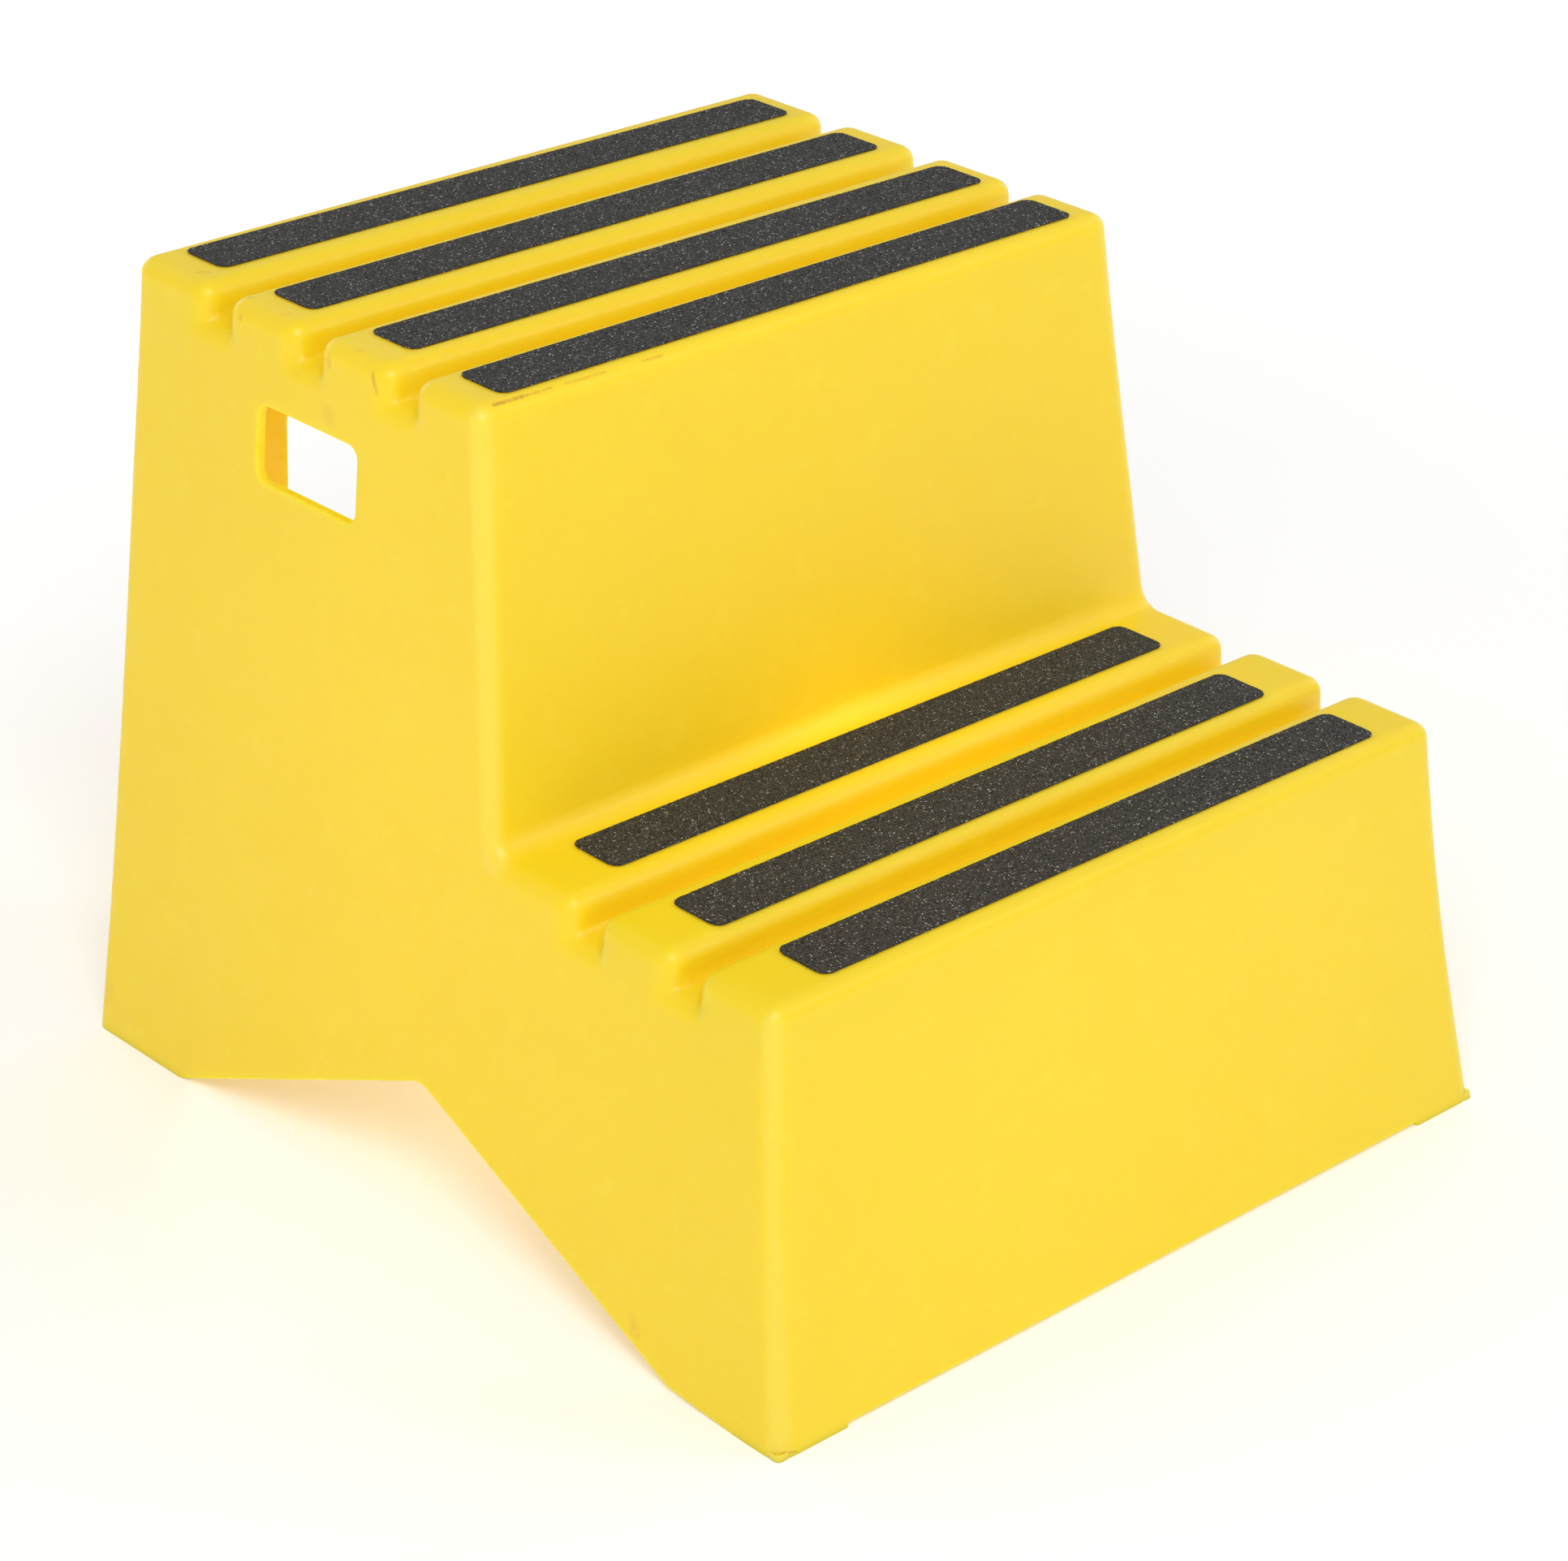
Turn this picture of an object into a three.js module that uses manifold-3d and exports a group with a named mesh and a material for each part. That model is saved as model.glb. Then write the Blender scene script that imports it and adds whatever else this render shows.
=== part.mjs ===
// A two-step mounting block: one hollow moulded shell, open underneath, with grit strips on its treads.
// Millimetres, +Z up, front towards -Y. The origin is on the ground under the middle of the base.
import * as THREE from "three";
import { mergeVertices } from "three/addons/utils/BufferGeometryUtils.js";
import Module from "manifold-3d";

// Outside of the shell. A slope is the distance a face leans inwards per unit of height.
const BASE_HALF_WIDTH = 286;
const BASE_HALF_DEPTH = 310;
const SIDE_SLOPE = 0.091;
const LOWER_RISER_SLOPE = 0.146;
const UPPER_RISER_SLOPE = 0.125;
const REAR_SLOPE = 0.04;
const LOWER_TREAD_Z = 247;
const UPPER_TREAD_Z = 494;
const UPPER_RISER_FOOT_Y = -49;

// The shell's wall, and the radii that soften its edges.
const WALL = 5.5;
const EDGE_RADIUS = 10;
const REAR_EDGE_RADIUS = 7;
const RISER_FOOT_RADIUS = 13;
const OUTER_SIDE_ROUNDING = 10;
const INNER_SIDE_ROUNDING = 5;
const LEAST_RADIUS = 0.3;
const SHARP = null;
const ARC_STEPS = 4;
const ROUNDING_STEPS = 4;

// Grooves that run from side to side between the ribs of each tread.
// A groove's mouth flares at each end by this share of what the rounding of the side edges takes off.
const UPPER_GROOVES_Y = [215, 132, 49.5];
const LOWER_GROOVES_Y = [-124.5, -204];
const GROOVE_HALF_WIDTH = 9.5;
const GROOVE_DEPTH = 21;
const GROOVE_FLOOR_RADIUS = 4;
const GROOVE_FLARE = 0.35;

// Openings through the walls.
const HAND_HOLE = { y: 126.8, z: 419.3, length: 88.5, height: 45, radius: 8 };
const SIDE_ARCH = { frontY: -229.5, rearY: 220, apexY: 1, apexZ: 91.5, apexRadius: 20 };
const REAR_OPENING = { halfWidth: 139.5, topZ: 409, radius: 45 };
const FRONT_RELIEF = { halfWidth: 234, height: 2 };

// Grit strips stuck to the ribs, above the thin line of adhesive.
const STRIP_LENGTH = 436.6;
const STRIP_WIDTH = 38.6;
const STRIP_THICKNESS = 0.9;
const STRIP_CORNER_RADIUS = 7;
const ADHESIVE = 0.3;
const UPPER_STRIPS_Y = [259, 174, 89.2, 10];
const LOWER_STRIPS_Y = [-81.4, -167.6, -244];

// How far the cutting shapes run past the faces that they cut.
const PAST = 40;

const wasm = await Module();
wasm.setup();

/** A closed three.js geometry as a solid that can be joined and cut. */
function toSolid(geometry) {
  const bare = geometry.clone();
  bare.deleteAttribute("normal");
  bare.deleteAttribute("uv");
  const merged = mergeVertices(bare, 1e-4);
  const vertProperties = new Float32Array(merged.attributes.position.array);
  const triVerts = new Uint32Array(merged.index.array);
  return new wasm.Manifold(new wasm.Mesh({ numProp: 3, vertProperties, triVerts }));
}

/** A solid as a flat-shaded three.js geometry. */
function toGeometry(solid) {
  const mesh = solid.getMesh();
  const geometry = new THREE.BufferGeometry();
  geometry.setAttribute("position", new THREE.BufferAttribute(mesh.vertProperties, 3));
  geometry.setIndex(new THREE.BufferAttribute(mesh.triVerts, 1));
  const flat = geometry.toNonIndexed();
  flat.computeVertexNormals();
  return flat;
}

/** The directions into and out of each corner of an anticlockwise outline, and their inward normals. */
function cornerFrames(corners) {
  const count = corners.length;
  return corners.map((corner, i) => {
    const before = corners[(i + count - 1) % count].at;
    const after = corners[(i + 1) % count].at;
    const arriving = corner.at.clone().sub(before).normalize();
    const leaving = after.clone().sub(corner.at).normalize();
    const arrivingNormal = new THREE.Vector2(-arriving.y, arriving.x);
    const leavingNormal = new THREE.Vector2(-leaving.y, leaving.x);
    const turn = Math.atan2(arriving.cross(leaving), arriving.dot(leaving));
    return { arriving, arrivingNormal, leavingNormal, turn };
  });
}

/** The corners of an outline moved inwards, with the radii that keep its roundings concentric. */
function insetCorners(corners, inset) {
  return cornerFrames(corners).map(({ arrivingNormal, leavingNormal, turn }, i) => {
    const { at, radius } = corners[i];
    const mitre = arrivingNormal.clone().add(leavingNormal);
    mitre.divideScalar(1 + arrivingNormal.dot(leavingNormal));
    const moved = at.clone().addScaledVector(mitre, inset);
    if (radius === SHARP) return { at: moved, radius };
    return { at: moved, radius: Math.max(radius - Math.sign(turn) * inset, LEAST_RADIUS) };
  });
}

/** The points of an outline with each of its corners rounded. */
function roundedOutline(corners) {
  const frames = cornerFrames(corners);
  return corners.flatMap(({ at, radius }, i) => {
    if (radius === SHARP) return [at.clone()];
    const { arriving, arrivingNormal, turn } = frames[i];
    const tangent = radius * Math.tan(Math.abs(turn) / 2);
    const start = at.clone().addScaledVector(arriving, -tangent);
    const centre = start.clone().addScaledVector(arrivingNormal, Math.sign(turn) * radius);
    const points = [];
    for (let k = 0; k <= ARC_STEPS; k += 1) {
      points.push(start.clone().rotateAround(centre, (turn * k) / ARC_STEPS));
    }
    return points;
  });
}

/** One corner of an outline. */
function corner(across, up, radius = SHARP) {
  return { at: new THREE.Vector2(across, up), radius };
}

/** The corners of one groove in a tread, from its rear edge to its front edge, before they shrink. */
function grooveCorners(y, treadZ, shrinkage) {
  const halfWidth = GROOVE_HALF_WIDTH + GROOVE_FLARE * shrinkage;
  const floorZ = treadZ - GROOVE_DEPTH;
  const floorRadius = GROOVE_FLOOR_RADIUS - shrinkage;
  return [
    corner(y + halfWidth, treadZ, EDGE_RADIUS),
    corner(y + halfWidth, floorZ, floorRadius),
    corner(y - halfWidth, floorZ, floorRadius),
    corner(y - halfWidth, treadZ, EDGE_RADIUS),
  ];
}

/**
 * The corners of the stepped outline in the Y-Z plane, carried on a little below the ground.
 * The shrinkage is what the rounding of the side edges is about to take off them.
 */
function stepCorners(shrinkage) {
  const riserRise = UPPER_TREAD_Z - LOWER_TREAD_Z;
  return [
    corner(-BASE_HALF_DEPTH - LOWER_RISER_SLOPE * PAST, -PAST),
    corner(BASE_HALF_DEPTH + REAR_SLOPE * PAST, -PAST),
    corner(BASE_HALF_DEPTH - REAR_SLOPE * UPPER_TREAD_Z, UPPER_TREAD_Z, REAR_EDGE_RADIUS),
    ...UPPER_GROOVES_Y.flatMap((y) => grooveCorners(y, UPPER_TREAD_Z, shrinkage)),
    corner(UPPER_RISER_FOOT_Y + UPPER_RISER_SLOPE * riserRise, UPPER_TREAD_Z, EDGE_RADIUS),
    corner(UPPER_RISER_FOOT_Y, LOWER_TREAD_Z, RISER_FOOT_RADIUS),
    ...LOWER_GROOVES_Y.flatMap((y) => grooveCorners(y, LOWER_TREAD_Z, shrinkage)),
    corner(-BASE_HALF_DEPTH + LOWER_RISER_SLOPE * LOWER_TREAD_Z, LOWER_TREAD_Z, EDGE_RADIUS),
  ];
}

/** One ring of the stepped body: the outline moved inwards, at a distance inside one leaning side face. */
function stepRing(side, inset, shrinkage, fromSide) {
  const corners = insetCorners(stepCorners(shrinkage), inset + shrinkage);
  return roundedOutline(corners).map(({ x: y, y: z }) => {
    const halfWidth = BASE_HALF_WIDTH - SIDE_SLOPE * z - fromSide;
    return new THREE.Vector3(side * halfWidth, y, z);
  });
}

/** The rings that round one side edge of the body, from the middle of the body outwards. */
function sideRings(side, inset, rounding) {
  const rings = [];
  for (let k = 0; k <= ROUNDING_STEPS; k += 1) {
    const angle = ((Math.PI / 2) * k) / ROUNDING_STEPS;
    const shrinkage = rounding * (1 - Math.cos(angle));
    const fromSide = inset + rounding * (1 - Math.sin(angle));
    rings.push(stepRing(side, inset, shrinkage, fromSide));
  }
  return rings;
}

/** The stepped body with all its faces moved inwards and its side edges rounded. */
function stepBody(inset, rounding) {
  const rings = [...sideRings(-1, inset, rounding).reverse(), ...sideRings(1, inset, rounding)];
  const count = rings[0].length;
  const index = [];
  for (let r = 0; r + 1 < rings.length; r += 1) {
    for (let i = 0; i < count; i += 1) {
      const here = r * count + i;
      const next = r * count + ((i + 1) % count);
      index.push(here, next, next + count, here, next + count, here + count);
    }
  }
  const lastRing = (rings.length - 1) * count;
  const capOutline = rings[0].map((p) => new THREE.Vector2(p.y, p.z));
  for (const [a, b, c] of THREE.ShapeUtils.triangulateShape(capOutline, [])) {
    index.push(a, c, b, lastRing + a, lastRing + b, lastRing + c);
  }
  const geometry = new THREE.BufferGeometry().setFromPoints(rings.flat());
  geometry.setIndex(index);
  return toSolid(geometry);
}

/** A straight solid with the given outline, from one depth to another along the outline's normal. */
function prism(corners, from, to, axes) {
  const shape = new THREE.Shape(roundedOutline(corners));
  const geometry = new THREE.ExtrudeGeometry(shape, { depth: to - from, bevelEnabled: false });
  geometry.translate(0, 0, from);
  geometry.applyMatrix4(axes);
  return toSolid(geometry);
}

/** A straight solid along X whose outline is given in Y and Z. */
function prismAlongX(corners, from, to) {
  const axes = new THREE.Matrix4().makeBasis(
    new THREE.Vector3(0, 1, 0),
    new THREE.Vector3(0, 0, 1),
    new THREE.Vector3(1, 0, 0),
  );
  return prism(corners, from, to, axes);
}

/** A straight solid along Y, between two values of Y, whose outline is given in X and Z. */
function prismAlongY(corners, fromY, toY) {
  const axes = new THREE.Matrix4().makeBasis(
    new THREE.Vector3(1, 0, 0),
    new THREE.Vector3(0, 0, 1),
    new THREE.Vector3(0, -1, 0),
  );
  return prism(corners, -toY, -fromY, axes);
}

/** The corners of an upright rectangle, each with a radius of its own. */
function rectangle(left, right, bottom, top, bottomRadius, topRadius) {
  return [
    corner(left, bottom, bottomRadius),
    corner(right, bottom, bottomRadius),
    corner(right, top, topRadius),
    corner(left, top, topRadius),
  ];
}

/** The hand hole through each side wall. */
function handHoles() {
  const { y, z, length, height, radius } = HAND_HOLE;
  const corners = rectangle(
    y - length / 2, y + length / 2, z - height / 2, z + height / 2, radius, radius,
  );
  return prismAlongX(corners, -BASE_HALF_WIDTH - PAST, BASE_HALF_WIDTH + PAST);
}

/** The low arch in the foot of each side wall, which leaves a foot at each corner. */
function sideArches() {
  const { frontY, rearY, apexY, apexZ, apexRadius } = SIDE_ARCH;
  const pastGround = PAST / apexZ;
  const corners = [
    corner(frontY - (apexY - frontY) * pastGround, -PAST),
    corner(rearY + (rearY - apexY) * pastGround, -PAST),
    corner(apexY, apexZ, apexRadius),
  ];
  return prismAlongX(corners, -BASE_HALF_WIDTH - PAST, BASE_HALF_WIDTH + PAST);
}

/** The wide opening in the rear wall, from the ground up. */
function rearOpening() {
  const { halfWidth, topZ, radius } = REAR_OPENING;
  const corners = rectangle(-halfWidth, halfWidth, -PAST, topZ, SHARP, radius);
  return prismAlongY(corners, BASE_HALF_DEPTH - PAST, BASE_HALF_DEPTH + PAST);
}

/** The shallow relief under the front wall, between its two feet. */
function frontRelief() {
  const { halfWidth, height } = FRONT_RELIEF;
  const corners = rectangle(-halfWidth, halfWidth, -PAST, height, SHARP, height / 2);
  return prismAlongY(corners, -BASE_HALF_DEPTH - PAST, -BASE_HALF_DEPTH + PAST);
}

/** Everything below the ground, which trims the shell to its base. */
function belowGround() {
  const reach = BASE_HALF_WIDTH + BASE_HALF_DEPTH;
  const box = new THREE.BoxGeometry(2 * reach, 2 * reach, 2 * PAST);
  box.translate(0, 0, -PAST);
  return toSolid(box);
}

/** The one-piece shell: the stepped body, hollowed, trimmed and opened. */
function mouldedShell() {
  return stepBody(0, OUTER_SIDE_ROUNDING)
    .subtract(stepBody(WALL, INNER_SIDE_ROUNDING))
    .subtract(handHoles())
    .subtract(sideArches())
    .subtract(rearOpening())
    .subtract(frontRelief())
    .subtract(belowGround());
}

/** One grit strip, lying along X with its underside at the origin. */
function gritStripGeometry() {
  const halfLength = STRIP_LENGTH / 2;
  const halfWidth = STRIP_WIDTH / 2;
  const radius = STRIP_CORNER_RADIUS;
  const corners = rectangle(-halfLength, halfLength, -halfWidth, halfWidth, radius, radius);
  const shape = new THREE.Shape(roundedOutline(corners));
  return new THREE.ExtrudeGeometry(shape, { depth: STRIP_THICKNESS, bevelEnabled: false });
}

/** A named mesh. */
function named(name, geometry, material) {
  const mesh = new THREE.Mesh(geometry, material);
  mesh.name = name;
  return mesh;
}

const yellowPlastic = new THREE.MeshStandardMaterial({ color: 0xf5cc2b, roughness: 0.5, metalness: 0 });
const blackGrit = new THREE.MeshStandardMaterial({ color: 0x413f3b, roughness: 0.95, metalness: 0 });

/** The grit strips of one tread, numbered from the rear, in a group at the tread's height. */
function treadStrips(tread, treadZ, stripsY) {
  const group = new THREE.Group();
  group.position.z = treadZ + ADHESIVE;
  stripsY.forEach((y, i) => {
    const strip = named(`${tread}_grit_strip_${i + 1}`, gritStripGeometry(), blackGrit);
    strip.position.y = y;
    group.add(strip);
  });
  return group;
}

const block = new THREE.Group();
block.add(named("moulded_shell", toGeometry(mouldedShell()), yellowPlastic));
block.add(treadStrips("upper", UPPER_TREAD_Z, UPPER_STRIPS_Y));
block.add(treadStrips("lower", LOWER_TREAD_Z, LOWER_STRIPS_Y));

export default block;
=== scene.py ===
import math

import bpy
import numpy as np
from mathutils import Matrix, Vector


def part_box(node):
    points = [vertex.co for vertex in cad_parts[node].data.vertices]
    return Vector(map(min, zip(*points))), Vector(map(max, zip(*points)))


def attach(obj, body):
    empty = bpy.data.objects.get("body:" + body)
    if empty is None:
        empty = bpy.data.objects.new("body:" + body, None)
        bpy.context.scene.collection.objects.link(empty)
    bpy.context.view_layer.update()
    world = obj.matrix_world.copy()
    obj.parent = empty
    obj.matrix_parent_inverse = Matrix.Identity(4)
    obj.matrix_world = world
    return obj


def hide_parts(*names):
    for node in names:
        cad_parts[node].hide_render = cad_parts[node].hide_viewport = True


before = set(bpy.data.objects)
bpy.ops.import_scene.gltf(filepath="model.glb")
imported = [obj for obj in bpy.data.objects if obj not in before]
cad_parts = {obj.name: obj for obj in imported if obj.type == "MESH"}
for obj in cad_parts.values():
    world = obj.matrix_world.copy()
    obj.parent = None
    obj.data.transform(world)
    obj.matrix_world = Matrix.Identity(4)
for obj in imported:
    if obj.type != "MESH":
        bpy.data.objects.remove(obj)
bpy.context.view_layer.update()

# Metres throughout, with the front towards -Y. A slope is how far a face leans inwards per unit of height.
MM = 0.001

# The shell's faces, as the CAD model has them.
SHELL_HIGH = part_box("moulded_shell")[1]
BASE_HALF_WIDTH = SHELL_HIGH.x
BASE_HALF_DEPTH = SHELL_HIGH.y
UPPER_TREAD_Z = SHELL_HIGH.z
LOWER_TREAD_Z = 247 * MM
UPPER_RISER_FOOT_Y = -49 * MM
SIDE_SLOPE = 0.091
LOWER_RISER_SLOPE = 0.146
UPPER_RISER_SLOPE = 0.125
REAR_SLOPE = 0.04
WALL = 5.5 * MM

# The softness of its edges.
EDGE_RADIUS = 10 * MM
REAR_EDGE_RADIUS = 6.5 * MM
RISER_FOOT_RADIUS = 13 * MM
OUTER_ROUNDING = 10 * MM
OUTER_ROUNDING_ACROSS = 11.5 * MM
INNER_ROUNDING = 4.6 * MM
LEAST_RADIUS = 0.3 * MM

# Grooves that run from side to side between the ribs.
UPPER_GROOVES_Y = [215 * MM, 132 * MM, 49.5 * MM]
LOWER_GROOVES_Y = [-124.5 * MM, -204 * MM]
GROOVE_HALF_WIDTH = 9.5 * MM
GROOVE_DEPTH = 21 * MM
GROOVE_FLOOR_RADIUS = 4 * MM

# A groove's mouth flares at each end by this share of what the rounding of the side edges takes off.
GROOVE_FLARE = 0.35

# Openings cut through the walls after moulding, whose edges are eased by hand.
HAND_HOLE = {
    "y": 126.8 * MM,
    "z": 419.3 * MM,
    "length": 88.5 * MM,
    "height": 45 * MM,
    "radius": 8 * MM,
}
SIDE_ARCH = {"rear_y": 220 * MM, "apex_y": 1 * MM, "apex_z": 91.5 * MM, "radius": 20 * MM}
REAR_OPENING = {"half_width": 139.5 * MM, "top_z": 409 * MM, "radius": 45 * MM}
FRONT_RELIEF = {"half_width": 234 * MM, "height": 2 * MM}
EASED_EDGE = 1.5 * MM
EASING_STEPS = 4

# The front feet rise a little from the front corner to the arch, and keep a tab of flash at the corner.
FOOT_AT_ARCH = (-221 * MM, 3 * MM)
FOOT_AT_CORNER = (-300 * MM, -2.2 * MM)
FLASH_TAB = {"reach": 10 * MM, "height": 3.6 * MM, "radius": 3.5 * MM}

# How far a cutter reaches past what it cuts.
PAST = 40 * MM

# How finely the shell is meshed, inside and out.
OUTER_VOXEL = 3.4 * MM
INNER_VOXEL = 8 * MM
ARC_STEPS = 10

# An edge that turns by more degrees than this stays sharp.
SHARP_TURN = 38

# The walls' slight bow and their uneven cooling. The riser's bow grows from its start, over its reach.
SIDE_BOW = 2.7 * MM
LOWER_RISER_BOW = 3.2 * MM
RISER_BOW_START_Y = -120 * MM
RISER_BOW_REACH = 120 * MM
WAVE_HEIGHT = 0.35 * MM
WAVE_FADE = 30 * MM

# Grit strips.
STRIP_CORNER_RADIUS = 7 * MM
STRIP_MESH = 0.9 * MM
GRIT_HEIGHT = 0.32 * MM
RAGGED_EDGE = 0.25 * MM
WORN_EDGE = 0.3 * MM

# How sharply wear sets in towards a strip's long sides and its ends.
SIDE_SHARPNESS = 24
END_SHARPNESS = 400

# How each strip was laid by hand: how far it is off centre, and its slant from true.
STRIP_LAY = {
    "upper_grit_strip_1": (3.4 * MM, -0.0075),
    "upper_grit_strip_2": (0.7 * MM, -0.004),
    "upper_grit_strip_3": (4.7 * MM, -0.008),
    "upper_grit_strip_4": (1.0 * MM, 0.0),
    "lower_grit_strip_1": (0.9 * MM, 0.0),
    "lower_grit_strip_2": (-2.8 * MM, 0.0),
    "lower_grit_strip_3": (3.8 * MM, -0.004),
}

# Camera: where it stands, and its heading from +Y towards +X, dip, roll and width of view in degrees.
CAMERA_AT = (-1.6120, -1.7138, 1.3732)
CAMERA_HEADING = 43.271
CAMERA_DIP = 26.686
CAMERA_ROLL = 1.024
CAMERA_VIEW = 19.966


# ---------------------------------------------------------------- outlines


def corner(across, up, radius=None):
    """One corner of an outline, with the radius that rounds it, if any."""
    return (np.array([across, up]), radius)


def corner_frames(corners):
    """For each corner of an anticlockwise outline: direction in, the two inward normals and the turn."""
    frames = []
    for i, (at, _) in enumerate(corners):
        arriving = at - corners[i - 1][0]
        leaving = corners[(i + 1) % len(corners)][0] - at
        arriving = arriving / np.linalg.norm(arriving)
        leaving = leaving / np.linalg.norm(leaving)
        cross = arriving[0] * leaving[1] - arriving[1] * leaving[0]
        turn = math.atan2(cross, float(arriving @ leaving))
        normal_in = np.array([-arriving[1], arriving[0]])
        normal_out = np.array([-leaving[1], leaving[0]])
        frames.append((arriving, normal_in, normal_out, turn))
    return frames


def inset_corners(corners, inset):
    """The corners moved inwards, with the radii that keep their roundings concentric."""
    moved = []
    for (at, radius), (_, normal_in, normal_out, turn) in zip(corners, corner_frames(corners)):
        mitre = (normal_in + normal_out) / (1 + float(normal_in @ normal_out))
        if radius is not None:
            radius = max(radius - math.copysign(inset, turn * inset), LEAST_RADIUS)
        moved.append((at + mitre * inset, radius))
    return moved


def rounded_outline(corners, steps=ARC_STEPS):
    """The points of an outline with each of its corners rounded."""
    points = []
    for (at, radius), (arriving, normal_in, _, turn) in zip(corners, corner_frames(corners)):
        if radius is None:
            points.append(at)
            continue
        start = at - arriving * radius * math.tan(abs(turn) / 2)
        centre = start + normal_in * math.copysign(radius, turn)
        for k in range(steps + 1):
            c, s = math.cos(turn * k / steps), math.sin(turn * k / steps)
            spoke = start - centre
            points.append(centre + np.array([c * spoke[0] - s * spoke[1], s * spoke[0] + c * spoke[1]]))
    return np.array(points)


def rectangle(left, right, bottom, top, bottom_radius, top_radius):
    return [
        corner(left, bottom, bottom_radius),
        corner(right, bottom, bottom_radius),
        corner(right, top, top_radius),
        corner(left, top, top_radius),
    ]


# ---------------------------------------------------------------- meshes


def mesh_from(points, faces, name):
    mesh = bpy.data.meshes.new(name)
    mesh.from_pydata([tuple(p) for p in points], [], faces)
    mesh.update()
    return mesh


def object_from(mesh, name):
    piece = bpy.data.objects.new(name, mesh)
    bpy.context.scene.collection.objects.link(piece)
    return piece


def discard(piece):
    mesh = piece.data
    bpy.data.objects.remove(piece)
    bpy.data.meshes.remove(mesh)


def lofted(rings, name):
    """A closed mesh through rings of equal length, each anticlockwise seen from the last one's side."""
    count = len(rings[0])
    faces = [tuple(range(count))[::-1]]
    for r in range(len(rings) - 1):
        for i in range(count):
            here, after = r * count + i, r * count + (i + 1) % count
            faces.append((here, after, after + count, here + count))
    last = (len(rings) - 1) * count
    faces.append(tuple(range(last, last + count)))
    return mesh_from(np.concatenate(rings), faces, name)


def applied(piece):
    """The piece's mesh with its modifiers applied, and the piece itself cleared of them."""
    graph = bpy.context.evaluated_depsgraph_get()
    made = bpy.data.meshes.new_from_object(piece.evaluated_get(graph), depsgraph=graph)
    old = piece.data
    piece.modifiers.clear()
    piece.data = made
    bpy.data.meshes.remove(old)


def combined(piece, other_mesh, material, operation):
    """Cuts a closed mesh away or adds it; the faces it leaves take the given material."""
    other_mesh.materials.append(material)
    other = object_from(other_mesh, "other")
    boolean = piece.modifiers.new("combined", "BOOLEAN")
    boolean.operation = operation
    boolean.solver = "MANIFOLD"
    boolean.material_mode = "TRANSFER"
    boolean.object = other
    applied(piece)
    discard(other)


def cut(piece, cutter_mesh, material):
    combined(piece, cutter_mesh, material, "DIFFERENCE")


def add(piece, added_mesh, material):
    combined(piece, added_mesh, material, "UNION")


# ---------------------------------------------------------------- the stepped shell


def groove_corners(y, tread_z, shrinkage):
    """The corners of one groove, from its rear edge to its front edge, before they shrink."""
    half = GROOVE_HALF_WIDTH + GROOVE_FLARE * shrinkage
    floor_z = tread_z - GROOVE_DEPTH
    floor_radius = GROOVE_FLOOR_RADIUS - shrinkage
    return [
        corner(y + half, tread_z, EDGE_RADIUS),
        corner(y + half, floor_z, floor_radius),
        corner(y - half, floor_z, floor_radius),
        corner(y - half, tread_z, EDGE_RADIUS),
    ]


def front_y(z):
    return -BASE_HALF_DEPTH + LOWER_RISER_SLOPE * z


def rear_y(z):
    return BASE_HALF_DEPTH - REAR_SLOPE * z


def half_width(z):
    return BASE_HALF_WIDTH - SIDE_SLOPE * z


def step_corners(shrinkage):
    """The corners of the stepped outline in Y and Z, carried on a little below the ground.

    The shrinkage is what the rounding of the side edges is about to take off them.
    """
    riser_top_y = UPPER_RISER_FOOT_Y + UPPER_RISER_SLOPE * (UPPER_TREAD_Z - LOWER_TREAD_Z)
    corners = [corner(front_y(-PAST), -PAST), corner(rear_y(-PAST), -PAST)]
    corners.append(corner(rear_y(UPPER_TREAD_Z), UPPER_TREAD_Z, REAR_EDGE_RADIUS))
    for y in UPPER_GROOVES_Y:
        corners += groove_corners(y, UPPER_TREAD_Z, shrinkage)
    corners.append(corner(riser_top_y, UPPER_TREAD_Z, EDGE_RADIUS))
    corners.append(corner(UPPER_RISER_FOOT_Y, LOWER_TREAD_Z, RISER_FOOT_RADIUS))
    for y in LOWER_GROOVES_Y:
        corners += groove_corners(y, LOWER_TREAD_Z, shrinkage)
    corners.append(corner(front_y(LOWER_TREAD_Z), LOWER_TREAD_Z, EDGE_RADIUS))
    return corners


def step_ring(side, inset, shrinkage, from_side):
    """The stepped outline moved inwards, at a distance inside one leaning side face."""
    outline = rounded_outline(inset_corners(step_corners(shrinkage), inset + shrinkage))
    x = side * (half_width(outline[:, 1]) - from_side)
    return np.column_stack([x, outline])


def step_body(inset, rounding, rounding_across, name):
    """The stepped body with its faces moved inwards and its side edges rounded."""
    right = []
    for k in range(ARC_STEPS + 1):
        angle = math.pi / 2 * k / ARC_STEPS
        shrinkage = rounding * (1 - math.cos(angle))
        from_side = inset + rounding_across * (1 - math.sin(angle))
        right.append((inset, shrinkage, from_side))
    left_rings = [step_ring(-1, *ring) for ring in reversed(right)]
    right_rings = [step_ring(1, *ring) for ring in right]
    return lofted(left_rings + right_rings, name)


def evenly_meshed(mesh, voxel, name):
    """The same closed surface in even quads, drawn back onto the exact shape."""
    exact = object_from(mesh, name + "_exact")
    piece = object_from(mesh.copy(), name)
    remesh = piece.modifiers.new("even", "REMESH")
    remesh.mode = "VOXEL"
    remesh.voxel_size = voxel
    wrap = piece.modifiers.new("exact", "SHRINKWRAP")
    wrap.wrap_method = "NEAREST_SURFACEPOINT"
    wrap.target = exact
    applied(piece)
    discard(exact)
    return piece


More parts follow.
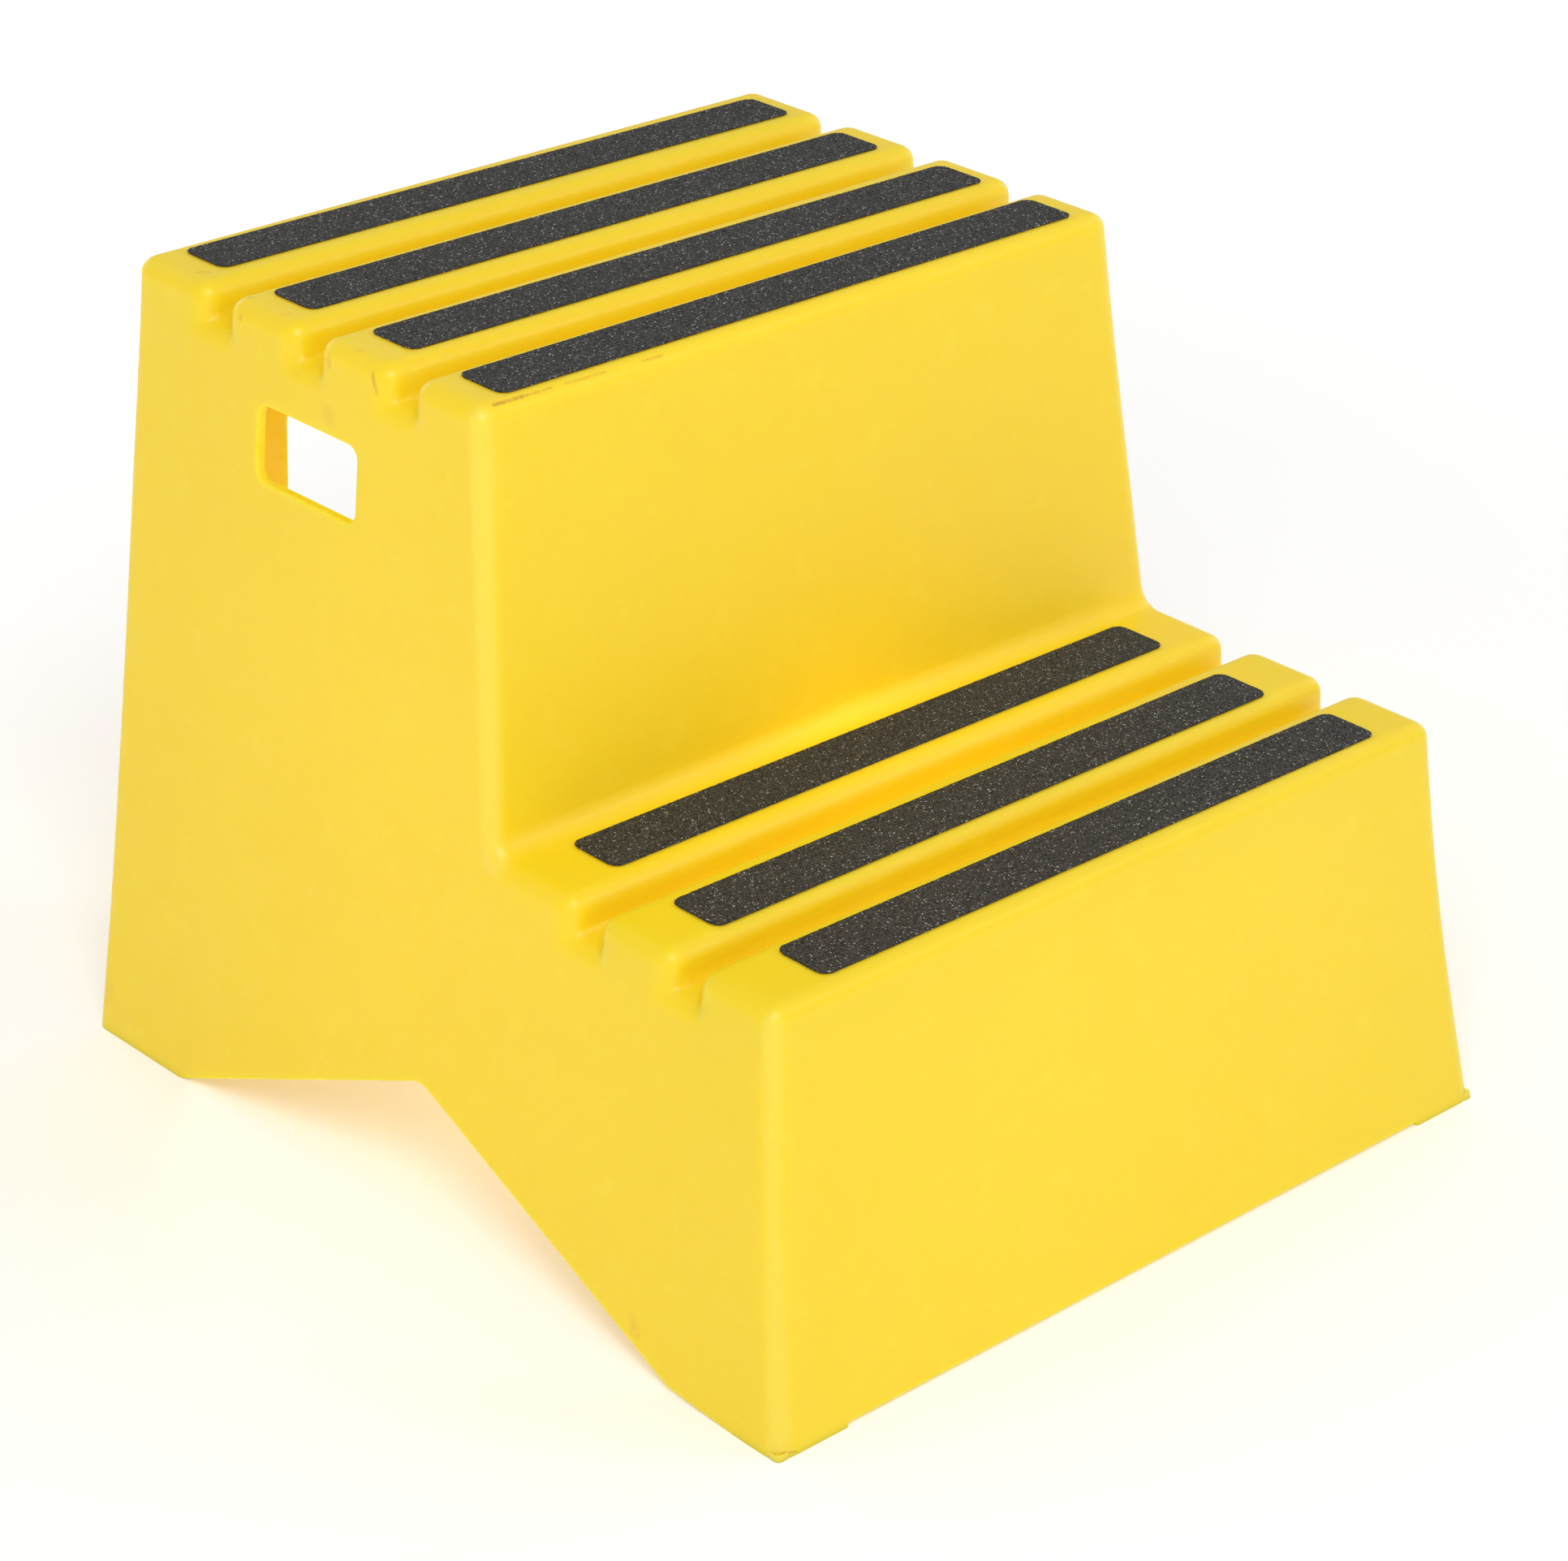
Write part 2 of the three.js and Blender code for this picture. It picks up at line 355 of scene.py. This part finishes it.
def eased_cutter(corners, place, name):
    """A cutter for an opening whose mouth is eased: place(across, up, depth) is a point under the face."""
    depths = [(-PAST, EASED_EDGE)]
    for k in range(EASING_STEPS + 1):
        angle = math.pi / 2 * k / EASING_STEPS
        depths.append((EASED_EDGE * (1 - math.cos(angle)), EASED_EDGE * (1 - math.sin(angle))))
    depths.append((PAST, 0.0))
    rings = []
    for depth, widening in depths:
        outline = rounded_outline(inset_corners(corners, -widening))
        rings.append(np.array([place(across, up, depth) for across, up in outline]))
    mesh = lofted(rings, name)
    if signed_volume(mesh) < 0:
        mesh.flip_normals()
    return mesh


def signed_volume(mesh):
    """Positive if the closed mesh faces out."""
    mesh.calc_loop_triangles()
    total = 0.0
    for triangle in mesh.loop_triangles:
        a, b, c = (mesh.vertices[i].co for i in triangle.vertices)
        total += a.dot(b.cross(c))
    return total


def side_place(side):
    return lambda y, z, depth: (side * (half_width(z) - depth), y, z)


def rear_place(x, z, depth):
    return (x, rear_y(z) - depth, z)


def front_place(x, z, depth):
    return (x, front_y(z) + depth, z)


def hand_hole_corners():
    hole = HAND_HOLE
    return rectangle(
        hole["y"] - hole["length"] / 2,
        hole["y"] + hole["length"] / 2,
        hole["z"] - hole["height"] / 2,
        hole["z"] + hole["height"] / 2,
        hole["radius"],
        hole["radius"],
    )


def side_arch_corners():
    arch = SIDE_ARCH
    past_ground = PAST / arch["apex_z"]
    return [
        corner(FOOT_AT_CORNER[0], -PAST),
        corner(arch["rear_y"] + (arch["rear_y"] - arch["apex_y"]) * past_ground, -PAST),
        corner(arch["apex_y"], arch["apex_z"], arch["radius"]),
        corner(*FOOT_AT_ARCH),
        corner(*FOOT_AT_CORNER),
    ]


def rear_opening_corners():
    opening = REAR_OPENING
    half = opening["half_width"]
    return rectangle(-half, half, -PAST, opening["top_z"], None, opening["radius"])


def front_relief_corners():
    half = FRONT_RELIEF["half_width"]
    return rectangle(-half, half, -PAST, FRONT_RELIEF["height"], None, FRONT_RELIEF["height"] / 2)


def flash_tab(side):
    """The tab at a front corner, which fills out the corner's rounding next to the ground."""
    reach, radius = FLASH_TAB["reach"], FLASH_TAB["radius"]
    rings = []
    for z in (-FLASH_TAB["height"], FLASH_TAB["height"]):
        near, far = sorted([side * half_width(z), side * (half_width(z) - reach)])
        outline = rounded_outline(rectangle(near, far, front_y(z), front_y(z) + reach, radius, radius))
        rings.append(np.column_stack([outline, np.full(len(outline), z)]))
    return lofted(rings, "flash_tab")


def ground_cutter():
    reach = 2 * BASE_HALF_DEPTH
    square = np.array([(-reach, -reach), (reach, -reach), (reach, reach), (-reach, reach)])
    rings = [np.column_stack([square, np.full(4, z)]) for z in (-3 * PAST, 0)]
    return lofted(rings, "ground_cutter")


def bent(points):
    """Bows the flat walls a little and gives them slow waves, whose rates are in radians per metre."""
    x, y, z = points.T
    rise = np.clip(z / UPPER_TREAD_Z, 0, 1)
    bow = SIDE_BOW * np.sin(math.pi * rise)
    step_rise = np.clip(z / LOWER_TREAD_Z, 0, 1)
    nearness = np.clip((RISER_BOW_START_Y - y) / RISER_BOW_REACH, 0, 1)
    wave_x = np.sin(19 * y + 1.3) * np.sin(15 * z + 0.4) + 0.6 * np.sin(41 * y - 23 * z)
    wave_y = np.sin(17 * x + 0.7) * np.sin(21 * z + 1.9) + 0.6 * np.sin(37 * x + 29 * z)
    wave_z = np.sin(13 * x + 2.1) * np.sin(16 * y + 0.2)
    inner = np.clip(z / WAVE_FADE, 0, 1) * np.clip((UPPER_TREAD_Z - z) / WAVE_FADE, 0, 1)
    x_new = x * (1 - bow / BASE_HALF_WIDTH) - np.sign(x) * WAVE_HEIGHT * (1 + wave_x) / 2 * inner
    y_new = y + LOWER_RISER_BOW * np.sin(math.pi * step_rise) * nearness + WAVE_HEIGHT * wave_y * inner
    z_new = z - WAVE_HEIGHT * (1 + wave_z) / 4 * (z > LOWER_TREAD_Z / 2)
    return np.column_stack([x_new, y_new, z_new])


def move_points(mesh, change):
    flat = np.empty(len(mesh.vertices) * 3)
    mesh.vertices.foreach_get("co", flat)
    mesh.vertices.foreach_set("co", change(flat.reshape(-1, 3)).ravel())
    mesh.update()


def smooth_but_for_cuts(mesh):
    mesh.polygons.foreach_set("use_smooth", np.ones(len(mesh.polygons), dtype=bool))
    mesh.set_sharp_from_angle(angle=math.radians(SHARP_TURN))


def moulded_shell(outside, inside, trimmed):
    """The hollow one-piece shell, trimmed and opened."""
    outer = step_body(0, OUTER_ROUNDING, OUTER_ROUNDING_ACROSS, "outer")
    outer.materials.append(outside)
    shell = evenly_meshed(outer, OUTER_VOXEL, "step_shell")
    inner = step_body(WALL, INNER_ROUNDING, INNER_ROUNDING, "inner")
    hollow = evenly_meshed(inner, INNER_VOXEL, "hollow")
    cut(shell, hollow.data.copy(), inside)
    discard(hollow)
    for side in (-1, 1):
        cut(shell, eased_cutter(hand_hole_corners(), side_place(side), "hole"), trimmed)
        cut(shell, eased_cutter(side_arch_corners(), side_place(side), "arch"), trimmed)
        add(shell, flash_tab(side), outside)
    cut(shell, eased_cutter(rear_opening_corners(), rear_place, "rear_opening"), trimmed)
    cut(shell, eased_cutter(front_relief_corners(), front_place, "relief"), trimmed)
    cut(shell, ground_cutter(), trimmed)
    move_points(shell.data, bent)
    smooth_but_for_cuts(shell.data)
    return shell


# ---------------------------------------------------------------- grit strips


def strip_grid(half_length, half_depth):
    """Rows and columns over a strip with round corners, and how near each point is to a side or an end."""
    columns = int(2 * half_length / STRIP_MESH)
    rows = int(2 * half_depth / STRIP_MESH)
    along = np.linspace(-half_length, half_length, columns)[:, None]
    across = np.linspace(-1, 1, rows)[None, :]
    into_corner = np.clip(np.abs(along) - (half_length - STRIP_CORNER_RADIUS), 0, STRIP_CORNER_RADIUS)
    lost = STRIP_CORNER_RADIUS - np.sqrt(STRIP_CORNER_RADIUS**2 - into_corner**2)
    x = np.repeat(along, rows, axis=1)
    y = across * (half_depth - lost)
    near_side = np.repeat(np.abs(across) ** SIDE_SHARPNESS, columns, axis=0)
    near_end = np.repeat((np.abs(along) / half_length) ** END_SHARPNESS, rows, axis=1)
    return x, y, near_side, near_end


def grit_top(node, chance):
    """The points of a strip's top: single grains, with edges a little ragged and worn."""
    low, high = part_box(node)
    x, y, near_side, near_end = strip_grid((high.x - low.x) / 2, (high.y - low.y) / 2)
    y = y - np.sign(y) * near_side * RAGGED_EDGE * chance.random(y.shape)
    x = x - np.sign(x) * near_end * RAGGED_EDGE * chance.random(x.shape)
    worn = np.maximum(near_side, near_end)
    z = high.z - GRIT_HEIGHT * chance.random(x.shape) * (1 - 0.5 * worn) - WORN_EDGE * worn
    off_centre, slant = STRIP_LAY[node]
    laid_x = (low.x + high.x) / 2 + off_centre + x
    laid_y = (low.y + high.y) / 2 + y + slant * x
    return np.stack([laid_x, laid_y, z], axis=-1)


def grid_faces(columns, rows):
    faces = []
    for i in range(columns - 1):
        for j in range(rows - 1):
            here = i * rows + j
            faces.append((here, here + rows, here + rows + 1, here + 1))
    return faces


def grid_rim(columns, rows):
    """The numbers of a grid's outermost points, in order."""
    rim = [i * rows for i in range(columns)]
    rim += [(columns - 1) * rows + j for j in range(1, rows)]
    rim += [i * rows + rows - 1 for i in range(columns - 2, -1, -1)]
    rim += list(range(rows - 2, 0, -1))
    return rim


def grit_strip(node, seed, material):
    """A strip of coarse grit tape: its granular top, closed down to its flat underside."""
    top = grit_top(node, np.random.default_rng(seed))
    columns, rows, _ = top.shape
    top = top.reshape(-1, 3)
    rim = grid_rim(columns, rows)
    bottom = top[rim].copy()
    bottom[:, 2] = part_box(node)[0].z
    faces = grid_faces(columns, rows)
    for k, at in enumerate(rim):
        after = (k + 1) % len(rim)
        faces.append((at, len(top) + k, len(top) + after, rim[after]))
    faces.append(tuple(len(top) + k for k in range(len(rim)))[::-1])
    strip = object_from(mesh_from(np.concatenate([top, bottom]), faces, "grit"), "tape_" + node)
    strip.data.materials.append(material)
    return strip


# ---------------------------------------------------------------- materials


class Shader:
    """A material's node tree, with short ways to add the nodes it needs."""

    def __init__(self, name, roughness, specular):
        self.material = bpy.data.materials.new(name)
        self.material.use_nodes = True
        self.tree = self.material.node_tree
        self.principled = self.tree.nodes["Principled BSDF"]
        self.principled.inputs["Roughness"].default_value = roughness
        self.principled.inputs["Specular IOR Level"].default_value = specular
        self.where = self.add("ShaderNodeTexCoord").outputs["Object"]

    def add(self, kind, **settings):
        node = self.tree.nodes.new(kind)
        for key, value in settings.items():
            setattr(node, key, value)
        return node

    def link(self, source, target):
        self.tree.links.new(source, target)

    def fill(self, socket, value):
        """Sets a socket to a number or links it to another node's output."""
        if isinstance(value, bpy.types.NodeSocket):
            self.link(value, socket)
        else:
            socket.default_value = value

    def noise(self, scale, detail):
        node = self.add("ShaderNodeTexNoise")
        self.link(self.where, node.inputs["Vector"])
        node.inputs["Scale"].default_value = scale
        node.inputs["Detail"].default_value = detail
        return node.outputs["Fac"]

    def ramp(self, value, low, high, to_low=0.0, to_high=1.0):
        node = self.add("ShaderNodeMapRange", interpolation_type="SMOOTHSTEP")
        self.link(value, node.inputs["Value"])
        node.inputs["From Min"].default_value = low
        node.inputs["From Max"].default_value = high
        node.inputs["To Min"].default_value = to_low
        node.inputs["To Max"].default_value = to_high
        return node.outputs["Result"]

    def maths(self, operation, a, b):
        node = self.add("ShaderNodeMath", operation=operation)
        self.fill(node.inputs[0], a)
        self.fill(node.inputs[1], b)
        return node.outputs["Value"]

    def vector_maths(self, operation, a, b):
        node = self.add("ShaderNodeVectorMath", operation=operation)
        self.fill(node.inputs[0], a)
        self.fill(node.inputs[1], b)
        return node

    def distance_to_line(self, start, end):
        """How far the shaded point is from the line between two points."""
        along = Vector(end) - Vector(start)
        from_start = self.vector_maths("SUBTRACT", self.where, start).outputs["Vector"]
        share = self.vector_maths("DOT_PRODUCT", from_start, along / along.length_squared).outputs["Value"]
        share = self.maths("MINIMUM", self.maths("MAXIMUM", share, 0), 1)
        reached = self.add("ShaderNodeVectorMath", operation="SCALE")
        reached.inputs["Vector"].default_value = along
        self.link(share, reached.inputs["Scale"])
        return self.vector_maths("DISTANCE", from_start, reached.outputs["Vector"]).outputs["Value"]

    def mixed(self, amount, first, second):
        node = self.add("ShaderNodeMix", data_type="RGBA")
        self.fill(node.inputs["Factor"], amount)
        self.fill(node.inputs["A"], first)
        self.fill(node.inputs["B"], second)
        return node.outputs["Result"]

    def bump(self, height, distance, strength, below=None):
        node = self.add("ShaderNodeBump")
        self.link(height, node.inputs["Height"])
        node.inputs["Distance"].default_value = distance
        node.inputs["Strength"].default_value = strength
        if below is not None:
            self.link(below, node.inputs["Normal"])
        return node.outputs["Normal"]

    def finish(self, colour, roughness=None, normal=None):
        self.link(colour, self.principled.inputs["Base Color"])
        if roughness is not None:
            self.link(roughness, self.principled.inputs["Roughness"])
        if normal is not None:
            self.link(normal, self.principled.inputs["Normal"])
        return self.material


YELLOW = (0.905, 0.66, 0.012, 1)
YELLOW_DEEP = (0.89, 0.65, 0.01, 1)
YELLOW_PALE = (0.92, 0.70, 0.03, 1)
# The paler colour painted on the upright corners as a highlight.
YELLOW_PAINTED_HIGHLIGHT = (0.89, 0.67, 0.06, 1)
DIRT = (0.58, 0.32, 0.025, 1)

# Upright corners are painted paler as a painted highlight this near to them, and not at all beyond this
# far.
HIGHLIGHT_FULL_NEAR = 6 * MM
HIGHLIGHT_GONE_BEYOND = 13 * MM

# Scuffs and smudges on the shell, in millimetres: both ends of each, its half width and how dark it is.
SCUFFS = [
    ((-227, -14.0, 492.2), (-208, -14.2, 492.0), 1.2, 0.85),
    ((-208, -14.2, 492.0), (-188, -14.4, 491.9), 1.0, 0.55),
    ((-178, -14.6, 491.8), (-150, -15.0, 491.6), 0.9, 0.45),
    ((-124, -15.2, 491.4), (-110, -15.4, 491.2), 0.9, 0.45),
    ((-241, 73, 491), (-242, 67, 478), 1.3, 0.6),
    ((-242, 110, 489), (-242, 109, 482), 1.8, 0.35),
    ((-242, 190, 490), (-242, 189.5, 486), 1.6, 0.4),
    ((-237, 98, 494), (-233, 92, 494), 1.2, 0.35),
    ((-232, 162, 494), (-229, 160, 494), 1.6, 0.3),
    ((-231, 196, 494), (-229, 194, 494), 1.2, 0.4),
    ((-228, 246, 494), (-224, 243, 494), 1.8, 0.35),
    ((-244, 108, 454), (-244, 108, 452), 5.0, 0.16),
    ((-273, -276, 232), (-271, -276, 232), 1.5, 0.4),
    ((-282, -190, 29), (-283, -193, 23), 4.0, 0.22),
    ((-284, 300, 24), (-283, 299, 30), 6.0, 0.12),
    ((-286, -302, 1), (-284, -307, 4.2), 0.5, 0.8),
    ((-284, -307, 4.2), (-272, -310, 2), 0.5, 0.8),
]


def translucent(shader):
    """Lets light soak a centimetre or so into the plastic, as polyethylene does."""
    inputs = shader.principled.inputs
    inputs["Subsurface Weight"].default_value = 0.8
    inputs["Subsurface Radius"].default_value = (1.0, 0.85, 0.08)
    inputs["Subsurface Scale"].default_value = 0.012
    return shader


def corner_lines():
    """Both ends of the upright corners at either side of the two risers."""
    foot = (UPPER_RISER_FOOT_Y, LOWER_TREAD_Z)
    head = (foot[0] + UPPER_RISER_SLOPE * (UPPER_TREAD_Z - foot[1]), UPPER_TREAD_Z)
    risers = [(foot, head), ((front_y(0), 0), (front_y(LOWER_TREAD_Z), LOWER_TREAD_Z))]
    return [
        [Vector((side * half_width(z), y, z)) for y, z in riser]
        for riser in risers
        for side in (-1, 1)
    ]


def painted_corner_highlight(shader, colour):
    """The colour, painted paler along the upright corners: a painted highlight on their rounding."""
    for low, high in corner_lines():
        away = shader.distance_to_line(low, high)
        colour = shader.mixed(shader.ramp(away, HIGHLIGHT_FULL_NEAR, HIGHLIGHT_GONE_BEYOND, 1, 0), colour, YELLOW_PAINTED_HIGHLIGHT)
    return colour


def scuffed(shader, colour):
    """The colour with the small scuffs and smudges of a used block on it."""
    breaks = shader.ramp(shader.noise(260, 2), 0.3, 0.6, 0.4, 1)
    for start, end, half_width, darkness in SCUFFS:
        away = shader.distance_to_line(Vector(start) * MM, Vector(end) * MM)
        mark = shader.ramp(away, 0.4 * half_width * MM, 1.6 * half_width * MM, darkness, 0)
        colour = shader.mixed(shader.maths("MULTIPLY", mark, breaks), colour, DIRT)
    return colour


def yellow_plastic():
    """Satin moulded polyethylene: slow mottling, a fine peel, and a little dirt."""
    shader = translucent(Shader("yellow_plastic", 0.4, 0.5))
    slow = shader.ramp(shader.noise(7, 3), 0.35, 0.65)
    colour = shader.mixed(slow, YELLOW, YELLOW_DEEP)
    blotch = shader.ramp(shader.noise(60, 3), 0.55, 0.75, 0, 0.35)
    # Paler upright corners: a painted highlight on their rounding.
    colour = painted_corner_highlight(shader, shader.mixed(blotch, colour, YELLOW_PALE))
    colour = scuffed(shader, colour)
    roughness = shader.ramp(shader.noise(45, 4), 0.3, 0.7, 0.36, 0.46)
    peel = shader.bump(shader.noise(160, 2), 0.0004, 0.25)
    grain = shader.bump(shader.noise(1400, 2), 0.0001, 0.3, peel)
    return shader.finish(colour, roughness, grain)


def yellow_inside():
    """The inside of the moulding, which never touched the mould: duller and uneven."""
    shader = translucent(Shader("yellow_inside", 0.6, 0.4))
    colour = shader.mixed(shader.ramp(shader.noise(25, 4), 0.35, 0.65), YELLOW, YELLOW_DEEP)
    roughness = shader.ramp(shader.noise(90, 4), 0.3, 0.7, 0.5, 0.68)
    lumps = shader.bump(shader.noise(70, 3), 0.0015, 0.5)
    grain = shader.bump(shader.noise(600, 2), 0.0003, 0.4, lumps)
    return shader.finish(colour, roughness, grain)


def yellow_trimmed():
    """Edges cut with a router and eased: paler, with fine cutting marks."""
    shader = translucent(Shader("yellow_trimmed", 0.55, 0.4))
    colour = shader.mixed(shader.ramp(shader.noise(120, 3), 0.35, 0.65), YELLOW, YELLOW_PALE)
    roughness = shader.ramp(shader.noise(300, 3), 0.3, 0.7, 0.5, 0.65)
    marks = shader.bump(shader.noise(500, 4), 0.0003, 0.4)
    return shader.finish(colour, roughness, marks)


GRIT_DARK = (0.006, 0.006, 0.006, 1)
GRIT_GREY = (0.08, 0.077, 0.07, 1)
# Pale colour painted on a few grains as glints.
GRIT_PAINTED_GLINT = (0.6, 0.6, 0.57, 1)


def black_grit():
    """Mineral grit in black resin: every grain has its own grey, and a few are painted pale as glints."""
    shader = Shader("black_grit", 0.8, 0.3)
    grains = shader.add("ShaderNodeTexVoronoi")
    shader.link(shader.where, grains.inputs["Vector"])
    grains.inputs["Scale"].default_value = 1500
    channels = shader.add("ShaderNodeSeparateColor")
    shader.link(grains.outputs["Color"], channels.inputs["Color"])
    dark = shader.mixed(shader.ramp(channels.outputs[0], 0.1, 1), GRIT_DARK, GRIT_GREY)
    # A few grains painted pale: painted glints.
    painted_glint = shader.ramp(channels.outputs[1], 0.97, 0.99)
    colour = shader.mixed(painted_glint, dark, GRIT_PAINTED_GLINT)
    roughness = shader.ramp(channels.outputs[2], 0, 1, 0.5, 0.95)
    relief = shader.bump(grains.outputs["Distance"], 0.0006, 0.8)
    return shader.finish(colour, roughness, relief)


def pale_floor():
    """A white sweep that glows a little, and more at a distance, so that no part of it turns grey."""
    shader = Shader("pale_floor", 0.9, 0.2)
    away = shader.vector_maths("DISTANCE", shader.where, (0, 0, 0)).outputs["Value"]
    shader.principled.inputs["Emission Color"].default_value = (1, 1, 1, 1)
    shader.link(shader.ramp(away, 0.8, 3, 0.12, 0.4), shader.principled.inputs["Emission Strength"])
    colour = shader.mixed(shader.noise(3, 2), (0.95, 0.95, 0.95, 1), (0.965, 0.965, 0.965, 1))
    return shader.finish(colour)


# ---------------------------------------------------------------- stage


def floor():
    reach = 60.0
    corners = [(-reach, -reach, 0), (reach, -reach, 0), (reach, reach, 0), (-reach, reach, 0)]
    ground = object_from(mesh_from(corners, [(0, 1, 2, 3)], "floor"), "floor")
    ground.data.materials.append(pale_floor())


def surroundings():
    world = bpy.data.worlds.new("studio")
    world.use_nodes = True
    background = world.node_tree.nodes["Background"]
    background.inputs["Color"].default_value = (1, 1, 1, 1)
    background.inputs["Strength"].default_value = 0.56
    bpy.context.scene.world = world


def placed_lamp(name, kind, at, power):
    light = bpy.data.lights.new(name, kind)
    light.energy = power
    lamp = bpy.data.objects.new(name, light)
    bpy.context.scene.collection.objects.link(lamp)
    lamp.location = at
    lamp.visible_camera = False
    return lamp


def soft_light(name, at, towards, width, height, power):
    lamp = placed_lamp(name, "AREA", at, power)
    lamp.data.shape = "RECTANGLE"
    lamp.data.size = width
    lamp.data.size_y = height
    lamp.rotation_euler = (Vector(towards) - Vector(at)).to_track_quat("-Z", "Y").to_euler()


def lamp_inside(at, power):
    """Stands in for the daylight that soaks through the thin walls and lights the hollow."""
    lamp = placed_lamp("inside", "POINT", at, power)
    lamp.data.shadow_soft_size = 0.05


def camera():
    heading, dip = math.radians(CAMERA_HEADING), math.radians(CAMERA_DIP)
    forward = Vector(
        (math.sin(heading) * math.cos(dip), math.cos(heading) * math.cos(dip), -math.sin(dip))
    )
    right = forward.cross(Vector((0, 0, 1))).normalized()
    right.rotate(Matrix.Rotation(math.radians(-CAMERA_ROLL), 3, forward))
    up = right.cross(forward)
    lens = bpy.data.cameras.new("camera")
    lens.sensor_width = 36
    lens.lens = lens.sensor_width / 2 / math.tan(math.radians(CAMERA_VIEW) / 2)
    lens.clip_end = 100
    viewer = bpy.data.objects.new("camera", lens)
    bpy.context.scene.collection.objects.link(viewer)
    turn = Matrix((right, up, -forward)).transposed()
    viewer.matrix_world = Matrix.Translation(CAMERA_AT) @ turn.to_4x4()
    bpy.context.scene.camera = viewer


# ---------------------------------------------------------------- the scene

shell = moulded_shell(yellow_plastic(), yellow_inside(), yellow_trimmed())
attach(shell, "root")
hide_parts("moulded_shell")

grit = black_grit()
strip_nodes = sorted(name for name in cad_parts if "grit_strip" in name)
for seed, node in enumerate(strip_nodes):
    strip = grit_strip(node, seed, grit)
    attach(strip, "root")
    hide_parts(node)

floor()
surroundings()
soft_light("beside_camera", (-1.6, -1.7, 2.6), (0, 0, 0.25), 1.4, 1.4, 44.5)
soft_light("front_right", (1.9, -2.3, 2.3), (0, 0, 0.3), 1.2, 1.2, 9)
soft_light("right", (3.0, 0, 1.5), (0, 0, 0.25), 1.6, 1.6, 13.5)
soft_light("rear", (0, 2.2, 0.7), (0, 0, 0.2), 1.0, 1.0, 6.6)
lamp_inside((0, 0.02, 0.2), 0.85)
camera()
bpy.context.scene.view_settings.view_transform = "Standard"
